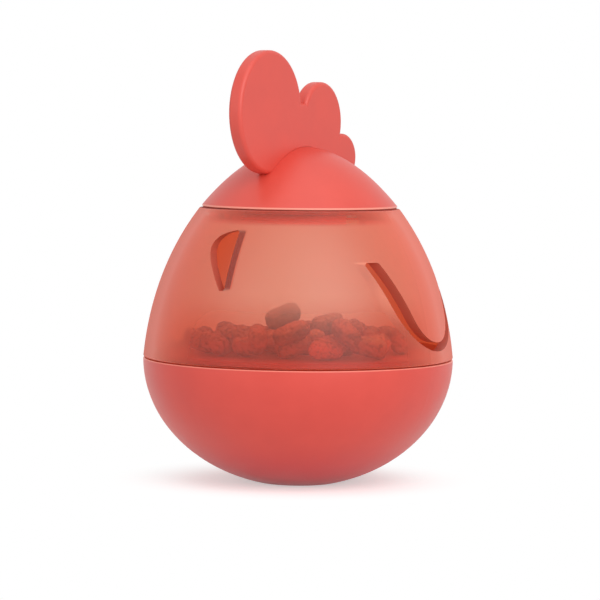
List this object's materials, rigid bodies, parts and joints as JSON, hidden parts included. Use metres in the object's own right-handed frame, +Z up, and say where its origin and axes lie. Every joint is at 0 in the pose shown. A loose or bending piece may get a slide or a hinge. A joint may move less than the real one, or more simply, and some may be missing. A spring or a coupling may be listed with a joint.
{
  "type": "roly-poly pet treat dispenser",
  "caption": "Hen-shaped roly-poly treat dispenser: weighted round bowl, see-through chamber with a pouring hole and a wing slot, twist-off domed lid with a comb.",
  "frame": {"origin": "middle of the flat foot, on the surface that the dispenser stands on", "axes": "+Z up along the middle axis, -Y towards the front (the pouring hole and the comb's largest lobe), +X to the hen's left"},
  "size_m": [0.0778, 0.0778, 0.108],
  "materials": {
    "coral_plastic": "satin, opaque coral red",
    "frosted_plastic": "frosted, see-through orange coral",
    "inner_plastic": "plain, dark grey",
    "ballast_steel": "turned, bare",
    "screw_steel": "zinc plated",
    "seal_rubber": "soft, dark red",
    "treat_biscuit": "baked, brown"
  },
  "bodies": {
    "base": {"base_bowl": "coral_plastic", "ballast_weight": "ballast_steel", "ballast_retainer": "inner_plastic", "ballast_screws": "screw_steel", "base_gasket": "seal_rubber", "chamber_floor": "coral_plastic", "treats": "treat_biscuit"},
    "shell": {"window_shell": "frosted_plastic"},
    "seal": {"lid_seal": "seal_rubber"},
    "lid": {"lid_collar": "coral_plastic", "collar_screws": "screw_steel", "lid_dome": "coral_plastic", "comb": "coral_plastic", "comb_screws": "screw_steel"}
  },
  "joints": [
    {"name": "shell_lift", "type": "slide", "parent": "base", "child": "shell", "axis": [0, 0, 1], "range_m": [0, 0.06]},
    {"name": "lid_twist", "type": "hinge", "parent": "shell", "child": "seal", "pos_m": [0, 0, 0.068], "axis": [0, 0, 1], "range_deg": [0, 25]},
    {"name": "lid_lift", "type": "slide", "parent": "seal", "child": "lid", "axis": [0, 0, 1], "range_m": [0, 0.05]}
  ]
}
